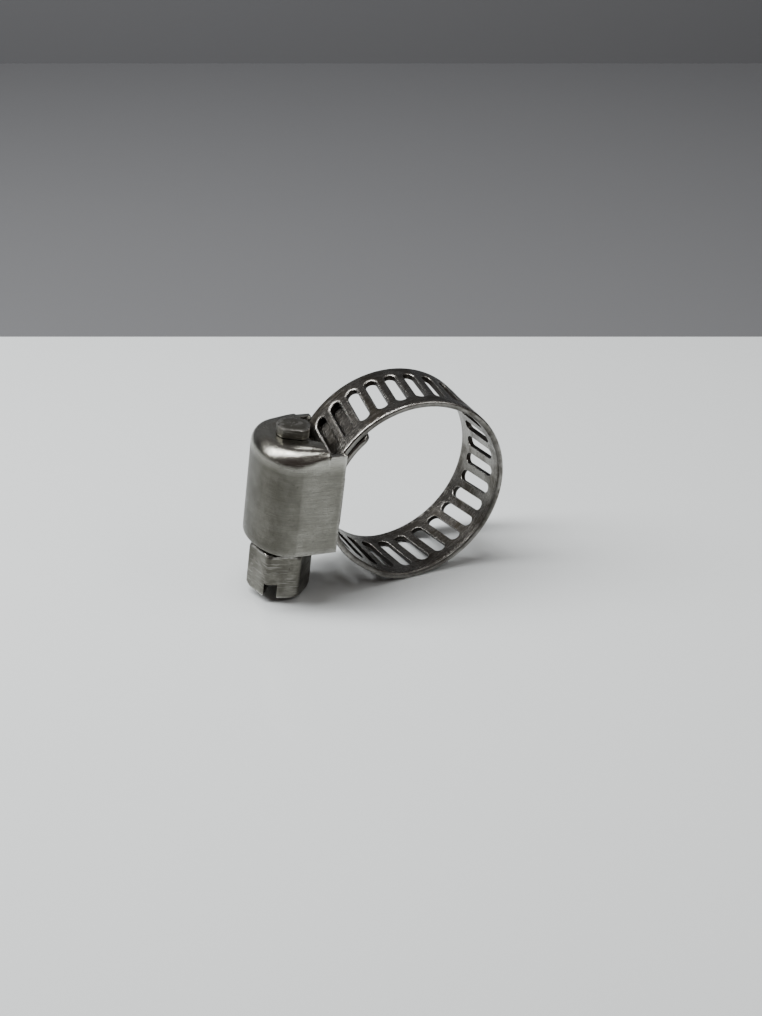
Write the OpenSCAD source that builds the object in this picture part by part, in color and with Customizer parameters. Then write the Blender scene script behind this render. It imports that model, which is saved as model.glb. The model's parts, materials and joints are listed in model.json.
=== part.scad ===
// Miniature worm-drive hose clamp, standing on edge on its screw head and on its band.
// Everything is drawn in the clamp's own plane, with the housing at -X and the screw upright,
// and stand() then leans it over into the resting pose. The origin is the centre of the hose.

/* [Band] */
// Inside diameter of the closed ring, which is the hose diameter
hose_d = 18.3; // [17:0.1:20]
// Width of the band
band_w = 8; // [7.5:0.1:8.5]
// Thickness of the band
band_t = 0.6; // [0.5:0.05:0.6]
// Distance from one slot to the next along the band
slot_pitch = 2.02; // [1.9:0.01:2.1]
// Width of a slot
slot_w = 1.15; // [1:0.05:1.2]
// Length of a slot from end to end
slot_l = 5.1; // [4.5:0.1:5.5]
// Angle round the ring of the first slot past the housing
first_slot = 58.66; // [57:0.5:60]
// Angle round the ring at which the tongue under the ring bends inwards
tongue_bend = -18; // [-22:1:-15]
// Radius of the tongue past that bend
tongue_r = 7.6; // [7.4:0.1:8]
// Angle round the bend's own centre at which the tongue ends
tongue_end = -55; // [-60:1:-50]
// Angle round the ring at which the free end lies
tail_end = 33; // [28:1:34]

/* [Joggle] */
// Angle at which the band starts to rise from the inner layer
joggle_start = 52; // [50:1:54]
// Angle at which the band has reached the outer layer
joggle_end = 97; // [95:1:100]
// Radius of the bend that ends the rise
joggle_r = 6.8; // [6.6:0.1:7]

/* [Housing] */
// Sheet thickness of the housing
sheet = 0.6; // [0.5:0.05:0.6]
// Length of the side walls along the screw
wall_l = 10.4; // [10:0.1:11]
// Distance from the hose centre to the walls' cut edge
wall_edge = 8.15; // [8:0.05:8.3]
// Distance from the hose centre to where the arched roof starts
arch_x = 12.3; // [12:0.1:12.5]
// Height of the arched roof
arch_h = 3.2; // [3:0.1:3.4]
// Height of the closed end above the walls
hood_rise = 0.4; // [0.3:0.1:0.5]
// Radius of the drawn edge round the closed end
hood_r = 1.6; // [1.2:0.1:1.8]
// Distance from the hose centre to the closed end's edge
hood_edge = 9.9; // [9.8:0.1:10.2]

/* [Screw] */
// Distance from the hose centre to the screw's axis
screw_x = 11.8; // [11.7:0.05:11.9]
// Outside diameter of the thread
thread_d = 5; // [4.8:0.05:5.1]
// Diameter between the threads
core_d = 3.7; // [3.5:0.1:3.8]
// Width of the hexagon across its flats
hex_af = 5.5; // [5:0.1:5.8]
// Height of the hexagon
hex_h = 4.7; // [4.2:0.1:4.9]
// Width of the driver slot
driver_w = 1.3; // [1:0.1:1.5]
// Depth of the driver slot
driver_d = 1.5; // [1.2:0.1:1.8]
// Diameter of the button that closes the screw's tip
button_d = 3.3; // [3:0.1:3.5]
// Height of the button
button_h = 0.95; // [0.6:0.05:1]

/* [Pose] */
// Angle that the screw leans from upright towards the ring
lean = 7.5; // [5:0.5:10]

/* [Hidden] */
$fn = 96;

// Clearances: between stacked layers, at the band's edges, in a knuckle and in the tip's notch
layer_gap = 0.04;
side_gap = 0.1;
knuckle_gap = 0.02;
bend_gap = 0.05;
notch_gap = 0.05;
button_gap = 0.05;
// Half the gap between the two floor tabs, and how far a tab stays back from the layers beside it
tab_seam = 0.05;
tab_fit = 0.01;
// How far a cutter runs past what it cuts
overcut = 1;

// Radii of the middle surfaces of the band's outer and inner layers, and of the floor tabs' faces
mid_r = hose_d / 2 + band_t / 2;
under_r = mid_r - band_t - layer_gap;
floor_r = under_r - band_t / 2 - layer_gap;
knuckle_r = band_t / 2 - 0.03;
// Radii of the corners at the strip's two ends
tongue_corner = 1;
tail_corner = 1.5;
// Longest facet of the band, in degrees
facet = 3;

// The slots' pitch as an angle, the hinge lines on every second slot, and the slots' slant,
// which is the thread's helix angle halfway down its teeth
slot_step = slot_pitch / mid_r * 180 / PI;
spans = 12;
span_step = 2 * slot_step;
slot_slant = atan(slot_pitch / (PI * (thread_d + core_d) / 2));
// The strip's slots are counted from the first one past the housing, from under_slot to last_slot
under_slot = -6;
last_slot = 26;
// Where the chain of spans ends and the free tail starts, halfway between two slots
split = first_slot + 23.5 * slot_step;

// The joggle: a flat bend about flat_c and a tight bend about tight_c, tangent where they meet
rise = mid_r - under_r;
tight_off = mid_r - joggle_r;
flat_off = (2 * rise * tight_off - rise * rise)
    / (2 * tight_off * (1 - cos(joggle_end - joggle_start)) - 2 * rise);
flat_r = under_r + flat_off;
flat_c = -flat_off * toward(joggle_start);
tight_c = tight_off * toward(joggle_end);
meet = atan2(flat_c[1] - tight_c[1], flat_c[0] - tight_c[0]);

// The same places as stations, which count the band's length as degrees of the outer layer
tight_from = joggle_end - (joggle_end - meet) * joggle_r / mid_r;
flat_from = tight_from - (meet - joggle_start) * flat_r / mid_r;
tongue_to = flat_from - (joggle_start - tongue_bend) * under_r / mid_r;
tongue_from = tongue_to - (tongue_bend - tongue_end) * tongue_r / mid_r;
// Each stretch of the band: [first station, last station, centre, radius, angle at the last station]
STRETCHES = [
    [-200, tongue_to, (under_r - tongue_r) * toward(tongue_bend), tongue_r, tongue_bend],
    [tongue_to, flat_from, [0, 0], under_r, joggle_start],
    [flat_from, tight_from, flat_c, flat_r, meet],
    [tight_from, joggle_end, tight_c, joggle_r, joggle_end],
    [joggle_end, 500, [0, 0], mid_r, 500]
];

// Housing
wall_y = band_w / 2 + side_gap + sheet;
wall_top = wall_l / 2;
hood_top = wall_top + hood_rise;
// Radii of the screw's tip and of the notch that it turns in
neck_r = 1.3;
notch_r = neck_r + notch_gap;
tab_face = floor_r - sheet;
tab_top = 2.6;
tab_bottom = -2.3;
// The drawn edge is built of thin slices this many degrees apart
bevel_step = 15;
slice = 0.01;

// Screw: heights along its axis, the head's rotation and the thread's tooth
head_end = -(mid_r + band_t / 2 + (screw_x - hex_af / sqrt(3)) * sin(lean)) / cos(lean);
hex_top = head_end + hex_h;
button_from = hood_top + button_gap;
// Height and depth of the bevel round the hexagon's end
hex_bevel_h = 0.5;
hex_bevel_r = 0.4;
hex_turn = -14.6;
driver_turn = 51.6;
tooth_crest = 0.3;
tooth_root = 0.75;
thread_from = -4.1;
thread_turns = 3.7;
thread_steps = 30;
// A tooth stands in the slot nearest to the middle of the thread
tooth_phase = -mid_r * sin(first_slot + 24 * slot_step);
thread_turn = 360 * (thread_from - tooth_phase) / slot_pitch;

// Unit vector from the hose centre to angle a round the ring, 0 at the housing, rising towards the head
function toward(a) = [-cos(a), -sin(a)];
function stretch(q) = [for (s = STRETCHES) if (q >= s[0] && q < s[1]) s][0];
function angle_at(s, q) = s[4] - (s[1] - q) * mid_r / s[3];
// The point at distance off outside the band's middle surface at station q
function face_point(q, off) = let (s = stretch(q)) s[2] + (s[3] + off) * toward(angle_at(s, q));

module stand() {
    rotate([0, lean, 0]) children();
}

// Lays a drawing in the ring's plane, with its Z axis along the hose
module ring_plane() {
    stand() rotate([90, 0, 0]) children();
}

// Puts children on the band's middle surface at station q: X outwards, Y along the band
module at_station(q) {
    s = stretch(q);
    translate([s[2][0], s[2][1], 0]) rotate([0, 0, 180 + angle_at(s, q)]) translate([s[3], 0, 0]) children();
}

// The band from station q0 to station q1, whose faces are off inside and outside its middle surface
module band_between(q0, q1) {
    steps = ceil((q1 - q0) / facet);
    stations = [for (i = [0 : steps]) q0 + (q1 - q0) * i / steps];
    outer = [for (q = stations) face_point(q, band_t / 2)];
    inner = [for (i = [steps : -1 : 0]) face_point(stations[i], -band_t / 2)];
    translate([0, 0, -band_w / 2]) linear_extrude(band_w) polygon(concat(outer, inner));
}

// The cutter of one slot, slanted like the thread
module slot_cut(q) {
    half = (slot_l - slot_w) / 2;
    outline = [for (side = [0, 180], a = [-90 : 15 : 90])
        [cos(a + side) * slot_w / 2 + (side == 0 ? half : -half), sin(a + side) * slot_w / 2]];
    at_station(q) rotate([-slot_slant, 0, 0]) rotate([0, 90, 0]) translate([0, 0, -2 * band_t])
        linear_extrude(4 * band_t) polygon(outline);
}

// Cuts off both corners of the strip's free end at station q, beyond which facing points
module corner_cuts(q, facing, corner) {
    for (side = [-1, 1]) at_station(q) translate([0, -facing * corner, side * (band_w / 2 - corner)])
        difference() {
            translate([-2 * band_t, facing > 0 ? 0 : -2 * corner, side > 0 ? 0 : -2 * corner])
                cube([4 * band_t, 2 * corner, 2 * corner]);
            rotate([0, 90, 0]) cylinder(h = 5 * band_t, r = corner, center = true);
        }
}

function hinge(i) = first_slot + (i - 1) * span_step;

// The rounded edge of a span that turns in the cup at the end of the one before
module knuckle(q) {
    at_station(q) cylinder(h = band_w - knuckle_gap, r = knuckle_r, center = true);
}

module cup_cut(q) {
    at_station(q) cylinder(h = band_w + overcut, r = knuckle_r + knuckle_gap, center = true);
}

// Span i of the ring, from its knuckle to the cup for the next one
module span(i) {
    from = hinge(i);
    to = i < spans ? hinge(i + 1) - bend_gap / mid_r * 180 / PI : split - bend_gap / mid_r * 180 / PI;
    color("dimgray") ring_plane() difference() {
        union() {
            band_between(from, to);
            knuckle(from);
        }
        if (i < spans) cup_cut(hinge(i + 1));
        for (k = [0 : 2]) slot_cut(from + k * slot_step);
    }
}

// The end that the housing holds: the tongue, the layer under the screw and the start of the rise
module band_fixed_end() {
    to = hinge(1) - bend_gap / mid_r * 180 / PI;
    color("dimgray") ring_plane() difference() {
        band_between(tongue_from, to);
        cup_cut(hinge(1));
        for (k = [under_slot : 0]) slot_cut(first_slot + k * slot_step);
        corner_cuts(tongue_from, -1, tongue_corner);
    }
}

// The free end, which the thread draws through the housing
module band_tail() {
    color("dimgray") ring_plane() difference() {
        rotate([0, 0, 180 + split]) translate([0, 0, -band_w / 2]) rotate_extrude(angle = 360 + tail_end - split)
            translate([mid_r - band_t / 2, 0]) square([band_t, band_w]);
        for (k = [24 : last_slot]) slot_cut(first_slot + k * slot_step);
        corner_cuts(360 + tail_end, 1, tail_corner);
    }
}

// Outline of the housing across the screw, moved inwards by d
module shell_outline(d) {
    arch = [for (a = [0 : 7.5 : 180]) [-arch_x - (arch_h - d) * sin(a), (wall_y - d) * cos(a)]];
    polygon(concat([[-wall_edge, wall_y - d]], arch, [[-wall_edge, d - wall_y]]));
}

// The housing's outside, or its hollow at d = sheet, with the drawn edge at the closed end
module shell_body(d, bottom) {
    r = hood_r - d;
    top = hood_top - d;
    hull() {
        translate([0, 0, bottom]) linear_extrude(top - r - bottom) shell_outline(d);
        for (b = [bevel_step : bevel_step : 90]) translate([0, 0, top - r + r * sin(b) - slice])
            linear_extrude(slice) shell_outline(d + r * (1 - cos(b)));
    }
}

// The tab that one wall folds in under the band: flat inside the ring, hollowed to the band's curve
module floor_tab() {
    inner_y = wall_y - sheet;
    tab_l = tab_top - tab_bottom;
    translate([0, 0, tab_bottom]) {
        intersection() {
            translate([-floor_r, tab_seam, 0]) cube([floor_r - tab_face, inner_y + tab_fit - tab_seam, tab_l]);
            translate([0, 0, -tab_bottom]) rotate([90, 0, 0]) cylinder(h = band_w * 2, r = floor_r, center = true);
        }
        translate([-wall_edge - overcut, inner_y, 0])
            cube([overcut + wall_edge - tab_face - sheet, sheet - tab_fit, tab_l]);
        translate([-tab_face - sheet, inner_y, 0]) intersection() {
            cylinder(h = tab_l, r = sheet - tab_fit);
            cube([sheet, sheet, tab_l]);
        }
    }
}

module housing() {
    color("gray") {
        stand() difference() {
            shell_body(0, -wall_top);
            shell_body(sheet, -wall_top - overcut);
            // the mouth above the band, and the walls' lower top beside it
            translate([-hood_edge, sheet - wall_y, wall_top - overcut])
                cube([hood_edge, 2 * (wall_y - sheet), hood_rise + 2 * overcut]);
            translate([-hood_edge, -wall_y - overcut, wall_top])
                cube([hood_edge, 2 * (wall_y + overcut), hood_rise + overcut]);
            // the notch that the screw's tip turns in
            translate([-screw_x, 0, 0]) cylinder(h = hood_top + overcut, r = notch_r);
            translate([-screw_x, -notch_r, 0]) cube([screw_x, 2 * notch_r, hood_top + overcut]);
        }
        for (side = [0, 1]) stand() mirror([0, side, 0]) floor_tab();
    }
}

// One step of the thread: a tooth's section at step i of n, in the order root, crest, crest, root
function tooth(i, n) =
    let (
        turn = i * 360 / thread_steps,
        fade = min(1, (i + 1) / 7, (n - i + 1) / 7),
        inside = core_d / 2 - 0.25,
        crest = inside + (thread_d / 2 - inside) * fade,
        z = thread_from + i * slot_pitch / thread_steps
    )
    [for (c = [[inside, -tooth_root / 2], [crest, -tooth_crest / 2], [crest, tooth_crest / 2], [inside, tooth_root / 2]])
        [c[0] * cos(turn + thread_turn), c[0] * sin(turn + thread_turn), z + c[1]]];

module thread() {
    n = round(thread_turns * thread_steps);
    points = [for (i = [0 : n]) each tooth(i, n)];
    sides = [for (i = [0 : n - 1], j = [0 : 3])
        let (a = 4 * i + j, b = 4 * i + (j + 1) % 4) each [[a, b + 4, a + 4], [a, b, b + 4]]];
    ends = [[0, 2, 1], [0, 3, 2], [4 * n, 4 * n + 1, 4 * n + 2], [4 * n, 4 * n + 2, 4 * n + 3]];
    polyhedron(points, concat(sides, ends));
}

module worm_screw() {
    head_r = hex_af / sqrt(3);
    bevel_top_r = head_r + 0.1;
    shank_from = hex_top - overcut / 2;
    color("darkgray") stand() translate([-screw_x, 0, 0]) {
        difference() {
            intersection() {
                translate([0, 0, head_end]) rotate([0, 0, hex_turn]) cylinder(h = hex_h, r = head_r, $fn = 6);
                union() {
                    translate([0, 0, head_end + hex_bevel_h]) cylinder(h = hex_h - hex_bevel_h, r = bevel_top_r);
                    translate([0, 0, head_end]) cylinder(h = hex_bevel_h, r1 = head_r - hex_bevel_r, r2 = bevel_top_r);
                }
            }
            rotate([0, 0, driver_turn]) translate([-hex_af, -driver_w / 2, head_end - overcut])
                cube([2 * hex_af, driver_w, driver_d + overcut]);
        }
        translate([0, 0, shank_from]) cylinder(h = thread_from + overcut / 2 - shank_from, d = core_d - 0.2);
        translate([0, 0, thread_from]) cylinder(h = hood_top - sheet - notch_gap - thread_from, d = core_d);
        cylinder(h = button_from + button_h, r = neck_r);
        translate([0, 0, button_from]) cylinder(h = button_h, d = button_d);
        thread();
    }
}

housing();
worm_screw();
band_fixed_end();
span(1);  // band_span_01
span(2);  // band_span_02
span(3);  // band_span_03
span(4);  // band_span_04
span(5);  // band_span_05
span(6);  // band_span_06
span(7);  // band_span_07
span(8);  // band_span_08
span(9);  // band_span_09
span(10);  // band_span_10
span(11);  // band_span_11
span(12);  // band_span_12
band_tail();
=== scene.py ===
"""A small worm-drive hose clamp: slotted band, deep-drawn housing and hexagon worm screw.

Lengths here are millimetres in the clamp's own frame (P across the housing, Y along the hose, S along
the screw), and place() turns them into metres in the shared frame.
"""
import json
import math

import bmesh
import bpy
import numpy as np
from mathutils import Matrix, Vector


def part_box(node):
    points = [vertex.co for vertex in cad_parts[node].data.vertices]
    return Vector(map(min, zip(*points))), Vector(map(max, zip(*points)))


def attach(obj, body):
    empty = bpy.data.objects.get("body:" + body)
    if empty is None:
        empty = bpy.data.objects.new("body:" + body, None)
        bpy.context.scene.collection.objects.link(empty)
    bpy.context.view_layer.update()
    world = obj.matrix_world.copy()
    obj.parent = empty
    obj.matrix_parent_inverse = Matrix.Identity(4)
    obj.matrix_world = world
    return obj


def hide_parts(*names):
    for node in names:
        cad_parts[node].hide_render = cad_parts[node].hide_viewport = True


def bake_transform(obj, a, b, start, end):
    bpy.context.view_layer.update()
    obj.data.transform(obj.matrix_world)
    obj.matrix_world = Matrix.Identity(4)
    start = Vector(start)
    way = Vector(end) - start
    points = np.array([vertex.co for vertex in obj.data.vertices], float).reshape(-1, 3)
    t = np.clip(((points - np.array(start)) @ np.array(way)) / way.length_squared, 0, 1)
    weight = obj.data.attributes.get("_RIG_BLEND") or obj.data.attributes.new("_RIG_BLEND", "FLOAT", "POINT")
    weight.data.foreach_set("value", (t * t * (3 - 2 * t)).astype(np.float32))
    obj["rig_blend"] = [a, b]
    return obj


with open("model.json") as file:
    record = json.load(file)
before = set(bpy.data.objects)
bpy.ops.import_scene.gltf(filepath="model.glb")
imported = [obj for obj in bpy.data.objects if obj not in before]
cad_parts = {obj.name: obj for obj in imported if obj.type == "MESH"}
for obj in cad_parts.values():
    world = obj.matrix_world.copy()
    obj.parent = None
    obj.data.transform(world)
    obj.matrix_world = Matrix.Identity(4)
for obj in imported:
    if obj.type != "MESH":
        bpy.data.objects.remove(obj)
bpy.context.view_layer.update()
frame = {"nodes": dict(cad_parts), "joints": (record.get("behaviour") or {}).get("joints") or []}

# ---------------------------------------------------------------- sizes from the frame
MM = 0.001
joints = {j["name"]: j for j in frame["joints"]}
screw_axis = Vector(joints["screw_turn"]["axis"])
screw_base = Vector(joints["screw_turn"]["pos_m"]) / MM
LEAN = math.atan2(screw_axis.x, screw_axis.z)
SCREW_X = -(screw_base.x * math.cos(LEAN) - screw_base.z * math.sin(LEAN))
FLOOR_Z = min(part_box("worm_screw")[0].z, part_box("band_span_02")[0].z)
BAND_W = (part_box("band_span_06")[1].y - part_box("band_span_06")[0].y) / MM
FAR_SPANS = (5, 6, 7)
OUTER_R = max(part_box(f"band_span_{i:02d}")[1].x for i in FAR_SPANS) / MM
SPANS = sum(1 for name in frame["nodes"] if name.startswith("band_span_"))

# ---------------------------------------------------------------- band
BAND_T = 0.6
HALF = BAND_T / 2
MID_R = OUTER_R - HALF
LAYER_GAP = 0.04
UNDER_R = MID_R - BAND_T - LAYER_GAP
PITCH = 2.02
THREAD_R, CORE_R = 2.5, 1.85
SLOT_W = 1.15
SLOT_L = 5.1
SLANT = PITCH / (math.pi * (THREAD_R + CORE_R))
SLOT_STEP = math.degrees(PITCH / MID_R)
# Angles are in degrees round the ring. Slots are numbered from the one at FIRST_SLOT, where the first
# pivot is, and the ones before it are in the under layer.
FIRST_SLOT = 58.66
FIRST_UNDER_SLOT, LAST_SLOT = -6, 26
TONGUE_BEND, TONGUE_R, TONGUE_END = -18.0, 7.6, -55.0
TAIL_END = 33.0
TONGUE_CORNER, TAIL_CORNER = 1.0, 1.5
JOGGLE_START, JOGGLE_END, JOGGLE_R = 52.0, 97.0, 6.8
ENDLESS = 1e3
# The rounding of the cut edges, and the slots' draw-in on the outside and burr on the inside: (width, depth)
EDGE_R = 0.2
DRAW_IN = (0.26, 0.15)
BURR = (0.07, 0.07)
ROUND_STEPS = 5
# The smallest setback that counts as rounding, and how far the bend at a pivot reaches to each side
FLUSH = 0.01
BEND_REACH = 0.9 * SLOT_W


def smooth(x):
    """Rises from 0 at x = 0 to 1 at x = 1 without a corner, and is level outside."""
    x = min(1.0, max(0.0, x))
    return x * x * (3 - 2 * x)


def toward(angle):
    """Unit vector in the ring's plane at an angle in degrees, 0 at the housing, rising towards the head."""
    return np.array([-math.cos(math.radians(angle)), -math.sin(math.radians(angle))])


def joggle():
    """Where the band starts, and its stretches: first and last station, centre, radius, angle at the last."""
    rise = MID_R - UNDER_R
    tight_off = MID_R - JOGGLE_R
    bend = math.radians(JOGGLE_END - JOGGLE_START)
    flat_off = (2 * rise * tight_off - rise ** 2) / (2 * tight_off * (1 - math.cos(bend)) - 2 * rise)
    flat_r = UNDER_R + flat_off
    flat_c = -flat_off * toward(JOGGLE_START)
    tight_c = tight_off * toward(JOGGLE_END)
    meet = math.degrees(math.atan2(flat_c[1] - tight_c[1], flat_c[0] - tight_c[0]))
    tight_from = JOGGLE_END - (JOGGLE_END - meet) * JOGGLE_R / MID_R
    flat_from = tight_from - (meet - JOGGLE_START) * flat_r / MID_R
    tongue_to = flat_from - (JOGGLE_START - TONGUE_BEND) * UNDER_R / MID_R
    tongue_from = tongue_to - (TONGUE_BEND - TONGUE_END) * TONGUE_R / MID_R
    centre = np.zeros(2)
    return tongue_from, [
        (-ENDLESS, tongue_to, (UNDER_R - TONGUE_R) * toward(TONGUE_BEND), TONGUE_R, TONGUE_BEND),
        (tongue_to, flat_from, centre, UNDER_R, JOGGLE_START),
        (flat_from, tight_from, flat_c, flat_r, meet),
        (tight_from, JOGGLE_END, tight_c, JOGGLE_R, JOGGLE_END),
        (JOGGLE_END, ENDLESS, centre, MID_R, ENDLESS),
    ]


TONGUE_FROM, STRETCHES = joggle()


def band_point(station, y, off):
    """A point of the band: station in degrees along it, y across it, off outwards from its middle surface."""
    first, last, centre, radius, angle = next(s for s in STRETCHES if s[0] <= station < s[1])
    p, s = centre + (radius + off) * toward(angle - (last - station) * MID_R / radius)
    return (p, y, s)


def place(point):
    """A point of the clamp's own frame, in millimetres, as metres in the shared frame."""
    p, y, s = point
    return Vector((p * math.cos(LEAN) + s * math.sin(LEAN), y, -p * math.sin(LEAN) + s * math.cos(LEAN))) * MM


WELD, TINY_EDGE = 2e-6, 1e-7
RIM_ANGLE = math.radians(60)
BEVEL_STEPS = 3


class Shape:
    """Gathers points and faces. Each point has its place in the grain, its wear, and its grime and painted
    shade, from 0 to 1.
    """

    def __init__(self):
        self.points, self.faces, self.grain, self.wear, self.grime_and_shade = [], [], [], [], []

    def point(self, at, grain, wear=0.0, grime_and_shade=0.0):
        self.points.append(place(at))
        self.grain.append(grain)
        self.wear.append(wear)
        self.grime_and_shade.append(grime_and_shade)
        return len(self.points) - 1

    def grid(self, rows, closed=False):
        """Joins rows of equally many points with quads."""
        for a, b in zip(rows, rows[1:]):
            pairs = list(zip(a, a[1:] + a[:1])) if closed else list(zip(a, a[1:]))
            pairs_b = list(zip(b, b[1:] + b[:1])) if closed else list(zip(b, b[1:]))
            for (a0, a1), (b0, b1) in zip(pairs, pairs_b):
                self.faces.append((a0, a1, b1, b0))

    def build(self, name, material, sharp=38, bevel_rims=0.0):
        """The welded, closed object. bevel_rims rounds by that much every edge sharper than RIM_ANGLE."""
        mesh = bpy.data.meshes.new(name)
        mesh.from_pydata([tuple(v) for v in self.points], [], self.faces)
        for key, kind, values in (("grain", "FLOAT_VECTOR", np.array(self.grain, np.float32).ravel()),
                                  ("wear", "FLOAT", np.array(self.wear, np.float32)),
                                  ("grime_and_shade", "FLOAT", np.array(self.grime_and_shade, np.float32))):
            layer = mesh.attributes.new(key, kind, "POINT")
            layer.data.foreach_set("vector" if kind == "FLOAT_VECTOR" else "value", values)
        bm = bmesh.new()
        bm.from_mesh(mesh)
        bmesh.ops.remove_doubles(bm, verts=bm.verts, dist=WELD)
        bmesh.ops.dissolve_degenerate(bm, edges=bm.edges, dist=TINY_EDGE)
        open_edges = [e for e in bm.edges if e.is_boundary]
        if open_edges:
            bmesh.ops.holes_fill(bm, edges=open_edges, sides=0)
        bmesh.ops.recalc_face_normals(bm, faces=bm.faces)
        if bevel_rims:
            wear = bm.verts.layers.float["wear"]
            rims = [e for e in bm.edges if len(e.link_faces) == 2 and e.calc_face_angle(0) > RIM_ANGLE]
            rounded = bmesh.ops.bevel(bm, geom=rims, offset=bevel_rims * MM, segments=BEVEL_STEPS,
                                      profile=0.5, affect="EDGES", clamp_overlap=True)
            for face in rounded["faces"]:
                for vertex in face.verts:
                    vertex[wear] = 1.0
        for face in bm.faces:
            face.smooth = True
        bm.to_mesh(mesh)
        bm.free()
        mesh.set_sharp_from_angle(angle=math.radians(sharp))
        mesh.materials.append(material)
        piece = bpy.data.objects.new(name, mesh)
        bpy.context.scene.collection.objects.link(piece)
        return piece


# ---------------------------------------------------------------- materials
FINE_BRUSH, FINE_SPECK = 3.7, 5.5
SCRATCH_LENGTH, SCRATCH_WIDTH = 0.45, 3.1
EVEN = (1.0, 1.0, 1.0)
STREAK_SHADE, SPECK_SHADE = 0.45, 0.3


def steel(name, light, dark, worn, grime_and_shade_color, roughness, brush_scale, brush_depth, mottle_scale, streaks):
    """Stainless steel: drawn-out brushing along the grain, mottled tarnish, fine scratches, worn edges, and
    grime and painted shade, which darken it where a point attribute asks for them.
    brush_scale is per mm along and across the grain, mottle_scale is per mm, and brush_depth is in mm."""
    material = bpy.data.materials.new(name)
    material.use_nodes = True
    nodes, links = material.node_tree.nodes, material.node_tree.links
    shader = nodes["Principled BSDF"]
    shader.inputs["Metallic"].default_value = 1.0

    def node(kind, **inputs):
        made = nodes.new(kind)
        for key, value in inputs.items():
            made.inputs[key].default_value = value
        return made

    def attribute(key):
        made = nodes.new("ShaderNodeAttribute")
        made.attribute_name = key
        return made

    def noise(vector, scale, stretch, detail, roughness=0.6):
        mapping = nodes.new("ShaderNodeMapping")
        mapping.inputs["Scale"].default_value = stretch
        links.new(vector, mapping.inputs["Vector"])
        made = node("ShaderNodeTexNoise", Scale=scale, Detail=detail, Roughness=roughness)
        links.new(mapping.outputs["Vector"], made.inputs["Vector"])
        return made.outputs["Fac"]

    def spread(value, low, high, to_low, to_high):
        made = nodes.new("ShaderNodeMapRange")
        for key, number in (("From Min", low), ("From Max", high), ("To Min", to_low), ("To Max", to_high)):
            made.inputs[key].default_value = number
        links.new(value, made.inputs["Value"])
        return made.outputs["Result"]

    def math_node(operation, a, b):
        made = nodes.new("ShaderNodeMath")
        made.operation = operation
        for socket, value in zip(made.inputs, (a, b)):
            if isinstance(value, (int, float)):
                socket.default_value = value
            else:
                links.new(value, socket)
        return made.outputs["Value"]

    def mix(fac, a, b):
        made = nodes.new("ShaderNodeMix")
        made.data_type = "RGBA"
        links.new(fac, made.inputs["Factor"])
        for socket, value in ((made.inputs["A"], a), (made.inputs["B"], b)):
            if isinstance(value, tuple):
                socket.default_value = (*value, 1.0)
            else:
                links.new(value, socket)
        return made.outputs["Result"]

    grain = attribute("grain").outputs["Vector"]
    wear = attribute("wear").outputs["Fac"]
    grime_and_shade = attribute("grime_and_shade").outputs["Fac"]
    solid = nodes.new("ShaderNodeTexCoord").outputs["Object"]

    along, across = brush_scale
    brush = noise(grain, 1.0, (along, across, 1.0), 6.0)
    fine = noise(grain, FINE_BRUSH, (along, across, 1.0), 3.0)
    scratch = noise(grain, 1.0, (along * SCRATCH_LENGTH, across * SCRATCH_WIDTH, 1.0), 2.0)
    blotch = noise(solid, mottle_scale / MM, EVEN, 4.0)
    speck = noise(solid, FINE_SPECK * mottle_scale / MM, EVEN, 3.0)

    tarnish = spread(blotch, 0.42, 0.6, 0.0, 1.0)
    color = mix(tarnish, light, dark)
    streak = spread(brush, 0.3, 0.7, 0.0, 1.0)
    color = mix(math_node("MULTIPLY", streak, streaks), color, tuple(STREAK_SHADE * c for c in dark))
    color = mix(spread(speck, 0.62, 0.74, 0.0, 0.55), color, tuple(SPECK_SHADE * c for c in dark))
    color = mix(spread(scratch, 0.6, 0.66, 0.0, 0.4), color, worn)
    ragged = math_node("MULTIPLY", wear, spread(speck, 0.35, 0.6, 0.35, 1.0))
    color = mix(math_node("MULTIPLY", ragged, 0.75), color, worn)
    # Grime and painted shade: the colour darkens towards a near-black tone where the point attribute asks for
    # it
    color = mix(math_node("MULTIPLY", grime_and_shade, spread(blotch, 0.3, 0.6, 0.88, 1.0)), color, grime_and_shade_color)
    links.new(color, shader.inputs["Base Color"])

    # Tarnish and the places darkened by grime and painted shade are rougher, and worn edges are smoother
    rough = math_node("ADD", spread(blotch, 0.3, 0.7, *roughness), spread(fine, 0.3, 0.7, -0.06, 0.07))
    rough = math_node("ADD", rough, math_node("MULTIPLY", grime_and_shade, 0.2))
    rough = math_node("SUBTRACT", rough, math_node("MULTIPLY", wear, 0.08))
    links.new(rough, shader.inputs["Roughness"])

    height = math_node("ADD", math_node("MULTIPLY", fine, 0.6), math_node("MULTIPLY", scratch, 0.5))
    height = math_node("ADD", height, math_node("MULTIPLY", speck, 0.35))
    bump = node("ShaderNodeBump", Distance=brush_depth * MM)
    links.new(spread(grime_and_shade, 0.0, 0.6, 0.35, 0.9), bump.inputs["Strength"])
    links.new(height, bump.inputs["Height"])
    links.new(bump.outputs["Normal"], shader.inputs["Normal"])
    return material


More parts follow.
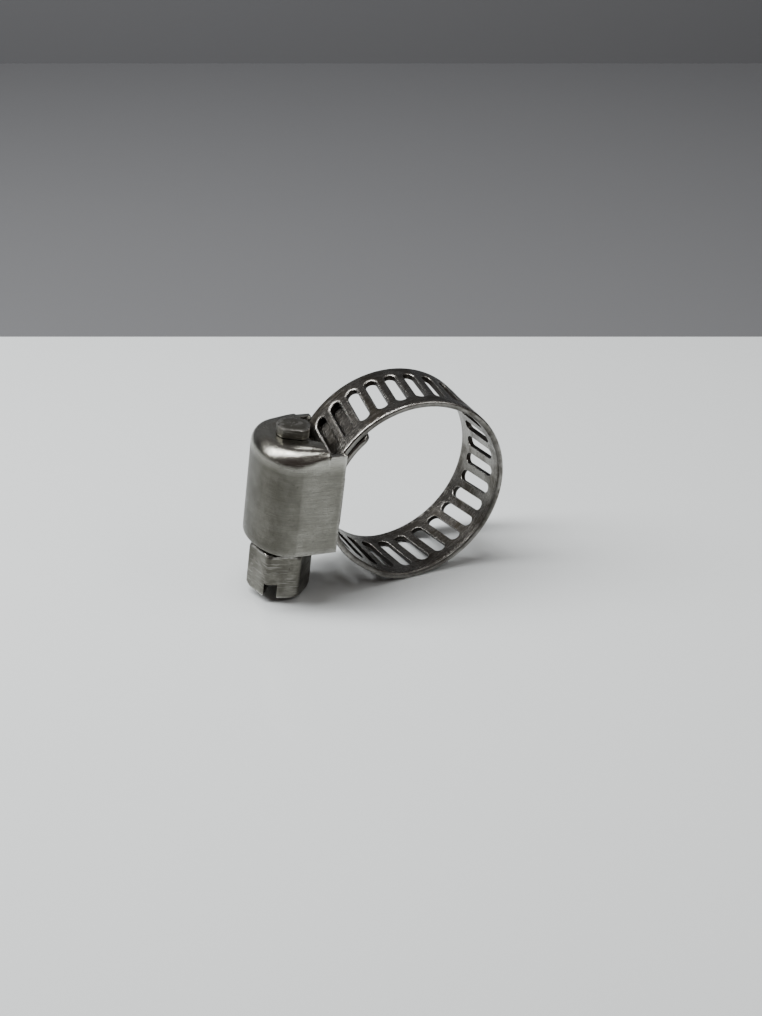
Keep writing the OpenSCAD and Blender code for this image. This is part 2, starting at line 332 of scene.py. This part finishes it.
band_steel = steel("band_steel", light=(0.225, 0.217, 0.2), dark=(0.07, 0.062, 0.05),
                   worn=(0.66, 0.65, 0.62), grime_and_shade_color=(0.014, 0.011, 0.009), roughness=(0.18, 0.36),
                   brush_scale=(0.5, 9.0), brush_depth=0.05, mottle_scale=0.42, streaks=0.35)
housing_steel = steel("housing_steel", light=(0.45, 0.445, 0.4), dark=(0.37, 0.365, 0.325),
                      worn=(0.6, 0.59, 0.56), grime_and_shade_color=(0.05, 0.047, 0.036), roughness=(0.17, 0.25),
                      brush_scale=(0.45, 7.0), brush_depth=0.05, mottle_scale=0.5, streaks=0.5)
screw_steel = steel("screw_steel", light=(0.2, 0.195, 0.172), dark=(0.12, 0.115, 0.098),
                    worn=(0.55, 0.54, 0.51), grime_and_shade_color=(0.025, 0.022, 0.018), roughness=(0.3, 0.46),
                    brush_scale=(1.2, 3.5), brush_depth=0.07, mottle_scale=0.6, streaks=0.4)

# ---------------------------------------------------------------- band pieces
CELL = PITCH / 2
RAIL = BAND_W / 2 - EDGE_R
# Steps from point to point on half a slot: across its cell's end, up the cell's side beside the slot's round
# end and beside its straight wall. A round end turns by ARC_STEP degrees a step.
END_STEPS, RAIL_STEPS, STRAIGHT_STEPS = 5, 4, 8
ARC_STEP = 90 / (END_STEPS + RAIL_STEPS)
# Shares of the way from a cell's border to a slot's lip
FLAT_SHARES = (1.0, 0.72, 0.45, 0.2, 0.0)


def rounded_side(outer, inner, steps):
    """Steps round the two edges of a cut side: pairs of setback from the side and height off the middle."""
    turn = [math.radians(90 * i / steps) for i in range(steps + 1)]
    upper = [(outer[0] * (1 - math.sin(a)), HALF - outer[1] * (1 - math.cos(a))) for a in turn]
    lower = [(inner[0] * (1 - math.sin(a)), HALF - inner[1] * (1 - math.cos(a))) for a in turn]
    return upper + [(back, -off) for back, off in reversed(lower)]


LIP = rounded_side(DRAW_IN, BURR, ROUND_STEPS)
RIM = rounded_side((EDGE_R, EDGE_R), (EDGE_R, EDGE_R), ROUND_STEPS)


def half_outline():
    """Half a slot's outline and the same number of points on its cell's border, both from -Y to +Y."""
    radius = SLOT_W / 2
    straight = SLOT_L / 2 - radius
    inner, outer = [], []
    for i in range(END_STEPS + 1):
        angle = math.radians(-90 + ARC_STEP * i)
        inner.append((radius * math.cos(angle), -straight + radius * math.sin(angle), angle))
        outer.append((CELL * i / END_STEPS, -RAIL))
    for i in range(1, RAIL_STEPS + 1):
        angle = math.radians(ARC_STEP * (i - RAIL_STEPS))
        inner.append((radius * math.cos(angle), -straight + radius * math.sin(angle), angle))
        outer.append((CELL, -RAIL + (RAIL - straight) * i / RAIL_STEPS))
    for i in range(1, STRAIGHT_STEPS + 1):
        y = -straight + 2 * straight * i / STRAIGHT_STEPS
        inner.append((radius, y, 0.0))
        outer.append((CELL, y))
    for i in range(1, RAIL_STEPS + END_STEPS + 1):
        angle = math.radians(ARC_STEP * i)
        inner.append((radius * math.cos(angle), straight + radius * math.sin(angle), angle))
        outer.append((CELL, straight + (RAIL - straight) * i / RAIL_STEPS) if i <= RAIL_STEPS
                     else (CELL * (RAIL_STEPS + END_STEPS - i) / END_STEPS, RAIL))
    return inner, outer


INNER, OUTER = half_outline()
SIDE_YS = [y for x, y in OUTER if x == CELL]


def slanted(x, y, station):
    """The station of a point x along and y across from the middle of a cell."""
    return station + math.degrees((x - SLANT * y) / MID_R)


def band_vertex(shape, station, y, off, wear=0.0, grime_and_shade=0.0):
    """Adds a point of the band, whose grain runs along the strip."""
    return shape.point(band_point(station, y, off), (math.radians(station) * MID_R, y, off), wear, grime_and_shade)


def lip_look(back):
    """Wear, grime and painted shade on a slot's side: worn on the rounded lips, and the straight wall between
    them darkened by grime and by painted shade in the slot.
    """
    worn = 0.9 if FLUSH < back < 0.12 else 0.0
    return worn, 0.9 if back < FLUSH else 0.25


def rim_look(back, off):
    """Wear and darkening on the band's cut edge: worn bright on the outer rounding, darker towards the inner
    side.
    """
    worn = 1.0 if FLUSH < back < 0.15 and off > 0 else 0.3
    return worn, 0.5 if off < 0 else 0.1


def half_cell(shape, station, side):
    """The half of a slot's cell on one side of the slot's middle, with the slot's wall and the rims."""
    faces = []
    for sign, lip in ((1, DRAW_IN[0]), (-1, BURR[0])):
        rows = []
        for share in FLAT_SHARES:
            row = []
            for (ix, iy, angle), (ox, oy) in zip(INNER, OUTER):
                near = (ix + lip * math.cos(angle), iy + lip * math.sin(angle))
                x = near[0] + (ox - near[0]) * share
                y = near[1] + (oy - near[1]) * share
                row.append(band_vertex(shape, slanted(side * x, y, station), y, sign * HALF))
            rows.append(row)
        faces.append(rows)
    walls = []
    for back, off in LIP[1:-1]:
        row = []
        for ix, iy, angle in INNER:
            x = ix + back * math.cos(angle)
            y = iy + back * math.sin(angle)
            row.append(band_vertex(shape, slanted(side * x, y, station), y, off, *lip_look(back)))
        walls.append(row)
    shape.grid(faces[0] + walls + faces[1][::-1])
    for end, corners in ((-1, OUTER[:END_STEPS + 1]), (1, OUTER[-END_STEPS - 1:])):
        edge_strip(shape, [slanted(side * x, y, station) for x, y in corners], end)


def edge_strip(shape, stations, end):
    """The band's rounded cut edge along a run of stations, at the +Y or -Y end."""
    shape.grid([[band_vertex(shape, q, end * (BAND_W / 2 - back), off, *rim_look(back, off))
                 for q in stations] for back, off in RIM])


def corner_trim(gap, corner):
    """The share of its full width that the band has at a distance from an end with round corners."""
    if gap >= corner:
        return 1.0
    half = BAND_W / 2 - corner + math.sqrt(max(corner ** 2 - (corner - gap) ** 2, 0.0))
    return half / (BAND_W / 2)


def plain_run(shape, q0, q1, slant0, slant1, corner, corner_at):
    """A stretch without slots. slant0 and slant1 say whether its ends follow the slots' slant.
    The end at station corner_at has round corners of radius corner."""
    steps = math.ceil(abs(q1 - q0))
    columns = []
    for i in range(steps + 1):
        share = i / steps
        station = q0 + (q1 - q0) * share
        keep = slant0 * max(0.0, 1 - share * 2) + slant1 * max(0.0, share * 2 - 1)
        trim = corner_trim(abs(math.radians(corner_at - station)) * MID_R, corner)
        columns.append([(slanted(0, y * keep, station), y * trim, trim) for y in SIDE_YS])
    for sign in (1, -1):
        shape.grid([[band_vertex(shape, q, y, sign * HALF) for q, y, trim in column] for column in columns])
    for end, side in ((0, -1), (-1, 1)):
        rail = [column[end] for column in columns]
        shape.grid([[band_vertex(shape, q, y + side * (EDGE_R - back) * trim, off, *rim_look(back, off))
                     for q, y, trim in rail] for back, off in RIM])


def slot_at(k):
    """The station of the middle of slot k."""
    return FIRST_SLOT + k * SLOT_STEP


def finish_band(shape, name, bodies, nodes, hinge_station=None):
    """Builds a band piece that rides on its body, or bends between its two bodies at hinge_station."""
    piece = shape.build(name, band_steel, sharp=50)
    if hinge_station is None:
        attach(piece, bodies[0])
    else:
        reach = math.degrees(BEND_REACH / MID_R)
        start = place(band_point(hinge_station - reach, 0, 0))
        end = place(band_point(hinge_station + reach, 0, 0))
        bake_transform(piece, bodies[0], bodies[1], start=tuple(start), end=tuple(end))
    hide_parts(*nodes)


def build_band():
    """The start with its tongue, the runs that each bend at one pivot, and the free end."""
    start = Shape()
    plain_run(start, TONGUE_FROM, slot_at(FIRST_UNDER_SLOT - 0.5), 0, 1, TONGUE_CORNER, TONGUE_FROM)
    for k in range(FIRST_UNDER_SLOT, 1):
        half_cell(start, slot_at(k), -1)
        half_cell(start, slot_at(k), 1)
    half_cell(start, slot_at(1), -1)
    finish_band(start, "band_start", ("clamp_body", "span_01"), ("band_fixed_end", "band_span_01"),
                slot_at(0))
    for i in range(2, SPANS + 1):
        run = Shape()
        k = 2 * i - 3
        half_cell(run, slot_at(k), 1)
        half_cell(run, slot_at(k + 1), -1)
        half_cell(run, slot_at(k + 1), 1)
        half_cell(run, slot_at(k + 2), -1)
        if i == SPANS:
            half_cell(run, slot_at(k + 2), 1)
        bodies = (f"span_{i - 1:02d}", f"span_{i:02d}")
        finish_band(run, f"band_run_{i:02d}", bodies, (f"band_span_{i:02d}",), slot_at(k + 1))
    tail = Shape()
    for k in range(2 * SPANS, LAST_SLOT + 1):
        half_cell(tail, slot_at(k), -1)
        half_cell(tail, slot_at(k), 1)
    plain_run(tail, slot_at(LAST_SLOT + 0.5), 360 + TAIL_END, 1, 0, TAIL_CORNER, 360 + TAIL_END)
    finish_band(tail, "band_free_end", ("tail",), ("band_tail",))


build_band()

# ---------------------------------------------------------------- housing
SHEET = 0.6
SIDE_PLAY = 0.1
WALL_Y = BAND_W / 2 + SIDE_PLAY + SHEET
WALL_L = 10.4
WALL_TOP = WALL_L / 2
WALL_EDGE = 8.15
ARCH_X, ARCH_H = 12.3, 3.2
HOOD_RISE = 0.4
HOOD_TOP = WALL_TOP + HOOD_RISE
HOOD_EDGE = 9.9
HOOD_R, LIP_END_R, LIP_RUN = 1.6, 0.75, 3.2
SWELL = 0.2
NOTCH_R = 1.35
# The notch's mouth at its near lip, as points across and along the hose
NOTCH_FLARE = ((-HOOD_EDGE, -2.9), (-9.98, -2.5), (-10.2, -2.15), (-10.6, -1.78), (-11.1, -1.5),
               (-11.55, -1.37))
TAB_FACE = 7.87
TAB_BACK = TAB_FACE + SHEET
TAB_TOP, TAB_BOTTOM = 2.6, -2.3
TAB_ROOT, TAB_SEAM, TAB_THIN = 9.0, 0.07, 0.15
TUCK = 0.01
SHELL_BEVEL, TAB_BEVEL = 0.1, 0.06
# How much painted shade the housing's inside, its walls and the floor tabs under the band get
INSIDE_PAINTED_SHADE, WALL_PAINTED_SHADE, TAB_PAINTED_SHADE = 0.5, 0.52, 0.2
# Columns of points on a wall before the hood, on a wall under the hood and round the arch
WALL_COLUMNS, HOOD_COLUMNS, ARCH_COLUMNS = 5, 8, 48
COLUMN_GAP = 0.1
# Rows of points up the walls, round the drawn edge and across the hood's top
WALL_ROWS, EDGE_ROWS, TOP_ROWS = 16, 8, 8
TAB_ROWS, FOLD_STEPS = 14, 8


def housing_profile():
    """The housing's columns from the near wall's edge round the arch to the far one: kind, place, side."""
    wall = [WALL_EDGE + (HOOD_EDGE - WALL_EDGE) * i / WALL_COLUMNS for i in range(WALL_COLUMNS)]
    wall += [HOOD_EDGE - COLUMN_GAP]
    wall += [HOOD_EDGE + (ARCH_X - HOOD_EDGE) * i / HOOD_COLUMNS for i in range(HOOD_COLUMNS)]
    near = [("wall", p, -1) for p in wall]
    arch = [("arch", math.radians(180 - 180 * i / ARCH_COLUMNS), 0) for i in range(ARCH_COLUMNS + 1)]
    far = [("wall", p, 1) for p in reversed(wall)]
    return near + arch + far


def profile_point(entry, inset):
    """Where a column stands, across and along the hose, at a distance inwards from the housing's outside."""
    kind, value, side = entry
    if kind == "wall":
        return -value, side * (WALL_Y - inset)
    return -ARCH_X - (ARCH_H - inset) * math.sin(value), (WALL_Y - inset) * math.cos(value)


def hood_radius(entry):
    """The drawn edge's radius, which runs out towards the lips' ends."""
    p = -profile_point(entry, 0)[0]
    return LIP_END_R + (HOOD_R - LIP_END_R) * smooth((p - HOOD_EDGE) / LIP_RUN)


def notch_line(count):
    """The edge of the notch for the screw's tip, from the near lip's end round to the far lip's end."""
    arc = [(-SCREW_X - NOTCH_R * math.sin(math.radians(a)), -NOTCH_R * math.cos(math.radians(a)))
           for a in range(0, 181, 10)]
    line = np.array([*NOTCH_FLARE, *arc, *((p, -y) for p, y in reversed(NOTCH_FLARE))])
    length = np.concatenate([[0], np.cumsum(np.hypot(*np.diff(line, axis=0).T))])
    at = np.linspace(0, length[-1], count)
    return list(zip(np.interp(at, length, line[:, 0]), np.interp(at, length, line[:, 1])))


def hood_swell(p, y):
    """How far the closed end's lips swell above its flat middle."""
    return SWELL * smooth((abs(y) - 1.4) / 1.6) * smooth((4.4 - abs(y)) / 1.8) * smooth((p + 14.2) / 2.5)


def painted_wall_shade(p, s):
    """Painted shade on the walls, fading out just below the drawn edge above them, and deepest round the
    arch, with a step at the arch's start.
    """
    bent = 0.17 * smooth((-p - ARCH_X + 0.1) / 0.35) + 0.15 * smooth((-p - ARCH_X - 0.6) / 2)
    return (WALL_PAINTED_SHADE + bent) * smooth((HOOD_TOP - 1.2 - s) / 0.9)


def housing_surface(shape, inset):
    """The housing's outside at inset 0, or its inside at inset SHEET, as points by (column, row)."""
    entries = housing_profile()
    hooded = [i for i, e in enumerate(entries) if -profile_point(e, 0)[0] >= HOOD_EDGE - COLUMN_GAP / 2]
    notch = notch_line(len(hooded))
    index = {}
    run = 0.0
    last = profile_point(entries[0], 0)

    def add(i, j, at, grain):
        # The inside gets painted shade, and the outside the walls' painted shade
        index[i, j] = shape.point(at, grain, 0.0, INSIDE_PAINTED_SHADE if inset else painted_wall_shade(at[0], at[2]))

    for i, entry in enumerate(entries):
        corner = profile_point(entry, 0)
        run += math.dist(corner, last)
        last = corner
        is_hood = i in hooded
        radius = hood_radius(entry)
        bend_r = radius - inset
        top = HOOD_TOP - radius if is_hood else WALL_TOP
        p, y = profile_point(entry, inset)
        for j in range(WALL_ROWS + 1):
            s = -WALL_TOP + (top + WALL_TOP) * j / WALL_ROWS
            add(i, j, (p, y, s), (run, s, inset))
        if not is_hood:
            continue
        for j in range(1, EDGE_ROWS + 1):
            angle = math.radians(90 * j / EDGE_ROWS)
            p, y = profile_point(entry, inset + bend_r * (1 - math.cos(angle)))
            s = HOOD_TOP - inset - bend_r + bend_r * math.sin(angle)
            add(i, WALL_ROWS + j, (p, y, s), (run, HOOD_TOP - radius + bend_r * angle, inset))
        edge = profile_point(entry, inset + bend_r)
        goal = notch[i - hooded[0]]
        for j in range(1, TOP_ROWS + 1):
            share = j / TOP_ROWS
            p = edge[0] + (goal[0] - edge[0]) * share
            y = edge[1] + (goal[1] - edge[1]) * share
            add(i, WALL_ROWS + EDGE_ROWS + j, (p, y, HOOD_TOP - inset + hood_swell(p, y)), (p, y, inset))
    return index, len(entries), hooded


def join_housing(piece):
    """Fixes a piece of the housing to the clamp's body."""
    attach(piece, "clamp_body")
    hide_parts("housing")


def build_shell():
    """The pressed sheet: its outside, its inside and the cut edge that joins them."""
    shape = Shape()
    outer, count, hooded = housing_surface(shape, 0.0)
    inner = housing_surface(shape, SHEET)[0]
    quads = []
    for i in range(count - 1):
        tops = WALL_ROWS + EDGE_ROWS + TOP_ROWS if i in hooded and i + 1 in hooded else WALL_ROWS
        quads += [((i, j), (i + 1, j), (i + 1, j + 1), (i, j + 1)) for j in range(tops)]
    uses = {}
    for quad in quads:
        shape.faces.append(tuple(outer[k] for k in quad))
        shape.faces.append(tuple(inner[k] for k in reversed(quad)))
        for a, b in zip(quad, quad[1:] + quad[:1]):
            uses.setdefault(frozenset((a, b)), []).append((a, b))
    for found in uses.values():
        if len(found) == 1:
            a, b = found[0]
            shape.faces.append((outer[b], outer[a], inner[a], inner[b]))
    shell = shape.build("housing_shell", housing_steel, sharp=45, bevel_rims=SHELL_BEVEL)
    for vertex in shell.data.vertices:
        vertex.co.y = min(max(vertex.co.y, -WALL_Y * MM), WALL_Y * MM)
    join_housing(shell)


def build_tab(name, side):
    """One wall's floor tab, folded in under the band, with its back hollowed to the ring."""
    tab = Shape()
    across = (WALL_Y * 0.6, WALL_Y * 0.3, TAB_SEAM)
    rings = []
    for s in np.linspace(TAB_BOTTOM, TAB_TOP, TAB_ROWS):
        back = max(math.sqrt(TAB_BACK ** 2 - s ** 2), TAB_FACE + TAB_THIN)
        ring = [(-TAB_ROOT, WALL_Y - TUCK)]
        for i in range(FOLD_STEPS + 1):
            angle = math.radians(90 * i / FOLD_STEPS)
            ring.append((-TAB_BACK + SHEET * math.sin(angle),
                         WALL_Y - SHEET + (SHEET - TUCK) * math.cos(angle)))
        ring += [(-TAB_FACE, y) for y in across]
        ring += [(-back, y) for y in reversed(across)]
        ring += [(-back, WALL_Y - SHEET - 2 * TUCK), (-TAB_ROOT, WALL_Y - SHEET + 2 * TUCK)]
        # The tab gets painted shade, as it lies under the band
        rings.append([tab.point((p, side * y, s), (y - p, s, 0), 0.0, TAB_PAINTED_SHADE) for p, y in ring])
    tab.grid(rings, closed=True)
    join_housing(tab.build(name, housing_steel, sharp=40, bevel_rims=TAB_BEVEL))


build_shell()
build_tab("floor_tab_near", -1)
build_tab("floor_tab_far", 1)

# ---------------------------------------------------------------- screw
HEX_FLATS = 5.5
HEX_R = HEX_FLATS / math.sqrt(3)
HEX_H = 4.7
HEX_TURN = -14.6
DRIVER_TURN, DRIVER_W, DRIVER_D = 51.6, 1.3, 1.5
HALF_MIDDLE = 1.6
CORNER_CUT = 0.06
# The head's chamfers: (distance from the face, setback of the flats, cut at the corners)
END_CHAMFER = ((0, 0.1, 0.42), (0.03, 0.03, 0.33), (0.1, 0, 0.26), (0.25, 0, 0.15), (0.42, 0, CORNER_CUT))
TOP_CHAMFER = ((0.5, 0, CORNER_CUT), (0.3, 0, 0.1), (0.12, 0, 0.22), (0.04, 0.03, 0.32), (0, 0.1, 0.42))
JOIN = 0.02
SHANK_R, NECK_R = 1.75, 1.3
SHANK_OVERLAP, CORE_RAMP, CORE_BEVEL = 0.3, 0.15, 0.1
TIP_PLAY = 0.08
# Painted shade on the shank and the neck, which sit in the housing's dark cavity
SHANK_PAINTED_SHADE = 0.25
# The thread starts at THREAD_FROM and is centred in slot THREADED_SLOT
THREAD_FROM, THREAD_TURNS, THREADED_SLOT = -4.1, 3.7, 24
THREAD_STEPS, FADE_STEPS = 40, 9
# Half of the thread's section: (distance from its middle, share of its height)
THREAD_SIDE = ((0.07, 1.0), (0.14, 0.97), (0.18, 0.85), (0.33, 0.25), (0.42, -0.1))
ROOT_DEPTH, ROOT_SINK = 0.1, 0.15
BUTTON_R, BUTTON_H = 1.65, 0.95
BUTTON_FROM = HOOD_TOP + 0.05
# The filed flats on the button: (direction in degrees, distance from the axis)
BUTTON_FLATS = ((-116, 1.38), (64, 1.46), (-25, 1.52))
HEAD_END = -(OUTER_R + (SCREW_X - HEX_R) * math.sin(LEAN)) / math.cos(LEAN)
HEX_TOP = HEAD_END + HEX_H
FACE_RINGS = (0.75, 0.5, 0.25)
PARALLEL = 1e-6


def convex_ring(middle, planes, radius, count=144):
    """Points round the region inside every plane (direction in degrees, distance) and a circle."""
    ring = []
    for i in range(count):
        turn = 2 * math.pi * i / count
        ux, uy = math.cos(turn), math.sin(turn)
        dot = middle[0] * ux + middle[1] * uy
        reach = -dot + math.sqrt(max(dot ** 2 + radius ** 2 - middle[0] ** 2 - middle[1] ** 2, 0))
        for direction, distance in planes:
            nx, ny = math.cos(math.radians(direction)), math.sin(math.radians(direction))
            facing = nx * ux + ny * uy
            if facing > PARALLEL:
                reach = min(reach, (distance - nx * middle[0] - ny * middle[1]) / facing)
        ring.append((middle[0] + ux * reach, middle[1] + uy * reach))
    return ring


def lofted(shape, middle, levels, planes_of, worn_levels=()):
    """A solid of convex sections. Each level is (height, inset of the planes, circle's radius)."""
    rings = []
    for k, (s, inset, radius) in enumerate(levels):
        ring = convex_ring(middle, planes_of(inset), radius)
        wear = 1.0 if k in worn_levels else 0.0
        rings.append([shape.point((x - SCREW_X, y, s), (math.atan2(y, x) * 2, s, math.hypot(x, y)), wear)
                      for x, y in ring])
    shape.grid(rings, closed=True)
    for ring, s in ((rings[0], levels[0][0]), (rings[-1], levels[-1][0])):
        hub = shape.point((middle[0] - SCREW_X, middle[1], s), (0, s, 0))
        centre = shape.points[hub]
        previous = ring
        for share in FACE_RINGS:
            inner = []
            for index in ring:
                turn, height, radius = shape.grain[index]
                shape.points.append(centre + (shape.points[index] - centre) * share)
                shape.grain.append((turn, height, radius * share))
                shape.wear.append(0.0)
                shape.grime_and_shade.append(0.0)
                inner.append(len(shape.points) - 1)
            shape.grid([previous, inner], closed=True)
            previous = inner
        for a, b in zip(previous, previous[1:] + previous[:1]):
            shape.faces.append((a, b, hub))


def hex_planes(inset):
    """The head's six flats, set back by inset."""
    return [(HEX_TURN + 30 + 60 * i, HEX_FLATS / 2 - inset) for i in range(6)]


def build_head():
    """The hexagon head: two halves beside the driver's slot, and the whole hexagon above them."""
    shape = Shape()
    split_s = HEAD_END + DRIVER_D
    for side in (-1, 1):
        across = DRIVER_TURN + 90 * side
        middle = (HALF_MIDDLE * math.cos(math.radians(across)), HALF_MIDDLE * math.sin(math.radians(across)))
        levels = [(HEAD_END + depth, inset, HEX_R - cut) for depth, inset, cut in END_CHAMFER]
        levels += [(s, 0.0, HEX_R - CORNER_CUT) for s in (HEAD_END + 0.6, split_s + JOIN)]
        lofted(shape, middle, levels,
               lambda inset: hex_planes(inset) + [(across + 180, -DRIVER_W / 2 - inset)], worn_levels=(1, 2))
    levels = [(split_s, 0.0, HEX_R - CORNER_CUT)]
    levels += [(HEX_TOP - depth, inset, HEX_R - cut) for depth, inset, cut in TOP_CHAMFER]
    lofted(shape, (0, 0), levels, hex_planes, worn_levels=(3, 4))
    return shape.build("screw_head", screw_steel, sharp=34)


def lathed(shape, profile, count=96):
    """A turned solid about the screw's axis, from a profile of (radius, height)."""
    turns = [2 * math.pi * i / count for i in range(count)]
    # Every point gets the shank's painted shade
    shape.grid([[shape.point((r * math.cos(turn) - SCREW_X, r * math.sin(turn), s), (turn * 2, s, r), 0.0,
                             SHANK_PAINTED_SHADE) for turn in turns] for r, s in profile], closed=True)


def build_shank():
    """The shank, the threaded core and the neck as one turned solid, with the thread wound on it."""
    shape = Shape()
    core_top = HOOD_TOP - SHEET - TIP_PLAY
    lathed(shape, [(SHANK_R, HEX_TOP - SHANK_OVERLAP), (SHANK_R, HEX_TOP + SHANK_OVERLAP),
                   (SHANK_R, THREAD_FROM), (CORE_R, THREAD_FROM + CORE_RAMP),
                   (CORE_R, core_top - CORE_BEVEL), (CORE_R - CORE_BEVEL, core_top),
                   (NECK_R, core_top), (NECK_R, BUTTON_FROM + SHANK_OVERLAP)])
    total = round(THREAD_TURNS * THREAD_STEPS)
    slot_s = -MID_R * math.sin(math.radians(slot_at(THREADED_SLOT)))
    start_turn = 360 * (THREAD_FROM - slot_s) / PITCH
    section = [(-along, height) for along, height in reversed(THREAD_SIDE)] + list(THREAD_SIDE)
    root = CORE_R - ROOT_DEPTH
    rows = []
    for i in range(total + 1):
        fade = min(1.0, (i + 1) / FADE_STEPS, (total - i + 1) / FADE_STEPS)
        turn = math.radians(start_turn + 360 * i / THREAD_STEPS)
        row = []
        for along, height in section:
            r = root + (THREAD_R - root) * max(height, 0) * fade - (ROOT_SINK if height < 0 else 0)
            s = THREAD_FROM + PITCH * i / THREAD_STEPS + along
            # The thread's crests are worn, and its roots get painted shade
            row.append(shape.point((r * math.cos(turn) - SCREW_X, r * math.sin(turn), s), (turn * 2, s, r),
                                   0.8 if height > 0.9 else 0.0, 0.2 if height < 0.5 else 0.0))
        rows.append(row)
    shape.grid(rows)
    for row in (rows[0], rows[-1]):
        shape.faces.append(tuple(row))
    for a, b in zip(rows, rows[1:]):
        shape.faces.append((a[-1], a[0], b[0], b[-1]))
    return shape.build("screw_shank", screw_steel, sharp=40)


def build_button():
    """The button at the screw's tip, with its filed flats and rounded top edge."""
    shape = Shape()
    top = BUTTON_FROM + BUTTON_H
    levels = [(BUTTON_FROM, 0.06, BUTTON_R - 0.08), (BUTTON_FROM + 0.06, 0.0, BUTTON_R),
              (top - 0.1, 0.0, BUTTON_R), (top - 0.03, 0.02, BUTTON_R - 0.03), (top, 0.09, BUTTON_R - 0.1)]
    lofted(shape, (0, 0), levels, lambda inset: [(a, d - inset) for a, d in BUTTON_FLATS], worn_levels=(3, 4))
    return shape.build("screw_button", screw_steel, sharp=34)


for screw_piece in (build_head(), build_shank(), build_button()):
    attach(screw_piece, "screw")
    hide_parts("worm_screw")

# ---------------------------------------------------------------- camera, floor, backdrop and light
SENSOR_WIDTH, LENS, CLIP_START = 36, 60.24, 0.001
CAMERA_AT = Vector((-62.84, -131.63, 83.98)) * MM
VIEW = Vector((0.3603, 0.7771, -0.5161))
RIGHT = Vector((0.9072, -0.4206, 0)).normalized()
AWAY = Vector((-RIGHT.y, RIGHT.x, 0))
# The middle of the floor's far edge, half the sheets' width, and how far the floor comes forward
FAR_EDGE = Vector((20.5, 48.1, FLOOR_Z / MM)) * MM
REACH, FRONT = 0.6, 0.26
BACK_DEPTH, BACK_TOP = 0.12, 0.16
PAINT_SCALE, PAINT_DETAIL = 18, 3
PAINT_SHADE, PAINT_GLOSS = 0.97, 0.04

camera_data = bpy.data.cameras.new("camera")
camera_data.sensor_width = SENSOR_WIDTH
camera_data.lens = LENS
camera_data.clip_start = CLIP_START
camera = bpy.data.objects.new("camera", camera_data)
camera.location = CAMERA_AT
camera.rotation_euler = VIEW.to_track_quat("-Z", "Y").to_euler()
bpy.context.scene.collection.objects.link(camera)
bpy.context.scene.camera = camera


def plain_material(name, color, roughness, specular):
    """A painted surface with a barely visible unevenness."""
    material = bpy.data.materials.new(name)
    material.use_nodes = True
    nodes, links = material.node_tree.nodes, material.node_tree.links
    shader = nodes["Principled BSDF"]
    shader.inputs["Specular IOR Level"].default_value = specular
    solid = nodes.new("ShaderNodeTexCoord")
    noise = nodes.new("ShaderNodeTexNoise")
    noise.inputs["Scale"].default_value = PAINT_SCALE
    noise.inputs["Detail"].default_value = PAINT_DETAIL
    links.new(solid.outputs["Object"], noise.inputs["Vector"])
    shades = nodes.new("ShaderNodeMix")
    shades.data_type = "RGBA"
    shades.inputs["A"].default_value = (*(c * PAINT_SHADE for c in color), 1)
    shades.inputs["B"].default_value = (*color, 1)
    links.new(noise.outputs["Fac"], shades.inputs["Factor"])
    links.new(shades.outputs["Result"], shader.inputs["Base Color"])
    gloss = nodes.new("ShaderNodeMapRange")
    gloss.inputs["To Min"].default_value = roughness - PAINT_GLOSS
    gloss.inputs["To Max"].default_value = roughness + PAINT_GLOSS
    links.new(noise.outputs["Fac"], gloss.inputs["Value"])
    links.new(gloss.outputs["Result"], shader.inputs["Roughness"])
    return material


def flat_sheet(name, corners, material, faces):
    """A sheet of the stage, which isn't part of the clamp."""
    mesh = bpy.data.meshes.new(name)
    mesh.from_pydata([tuple(c) for c in corners], [], faces)
    mesh.materials.append(material)
    sheet = bpy.data.objects.new(name, mesh)
    bpy.context.scene.collection.objects.link(sheet)


def build_stage():
    """The floor, and the backdrop that lies flat behind it and then stands up."""
    sides = [FAR_EDGE - RIGHT * REACH, FAR_EDGE + RIGHT * REACH]
    flat_sheet("floor", [*sides, *(corner - AWAY * FRONT for corner in reversed(sides))],
               plain_material("floor_paint", (0.77, 0.802, 0.805), 0.16, 0.5), [(0, 1, 2, 3)])
    steps = (Vector(), AWAY * BACK_DEPTH, AWAY * BACK_DEPTH + Vector((0, 0, BACK_TOP)))
    flat_sheet("backdrop", [corner + step for corner in reversed(sides) for step in steps],
               plain_material("backdrop_paint", (0.142, 0.145, 0.151), 0.6, 0.2),
               [(0, 3, 4, 1), (1, 4, 5, 2)])


def area_light(name, at, size, power, color):
    """A soft panel facing the clamp. size is along and up the view, in millimetres, and power is in watts."""
    data = bpy.data.lights.new(name, "AREA")
    data.shape = "RECTANGLE"
    data.size, data.size_y = size[0] * MM, size[1] * MM
    data.energy = power
    data.color = color
    light = bpy.data.objects.new(name, data)
    back = Vector(at).normalized()
    across = (RIGHT - back * RIGHT.dot(back)).normalized()
    light.rotation_euler = Matrix((across, back.cross(across), back)).transposed().to_euler()
    light.location = Vector(at) * MM
    bpy.context.scene.collection.objects.link(light)


build_stage()
area_light("ceiling_panel", at=(-82, 50, 200), size=(330, 62), power=1.2, color=(1.0, 1.0, 1.0))
area_light("front_fill", at=(110, -90, 130), size=(90, 120), power=0.07, color=(1.0, 0.99, 0.97))
world = bpy.data.worlds.new("studio")
world.use_nodes = True
world.node_tree.nodes["Background"].inputs["Color"].default_value = (0.085, 0.07, 0.066, 1)
world.node_tree.nodes["Background"].inputs["Strength"].default_value = 1.0
bpy.context.scene.world = world
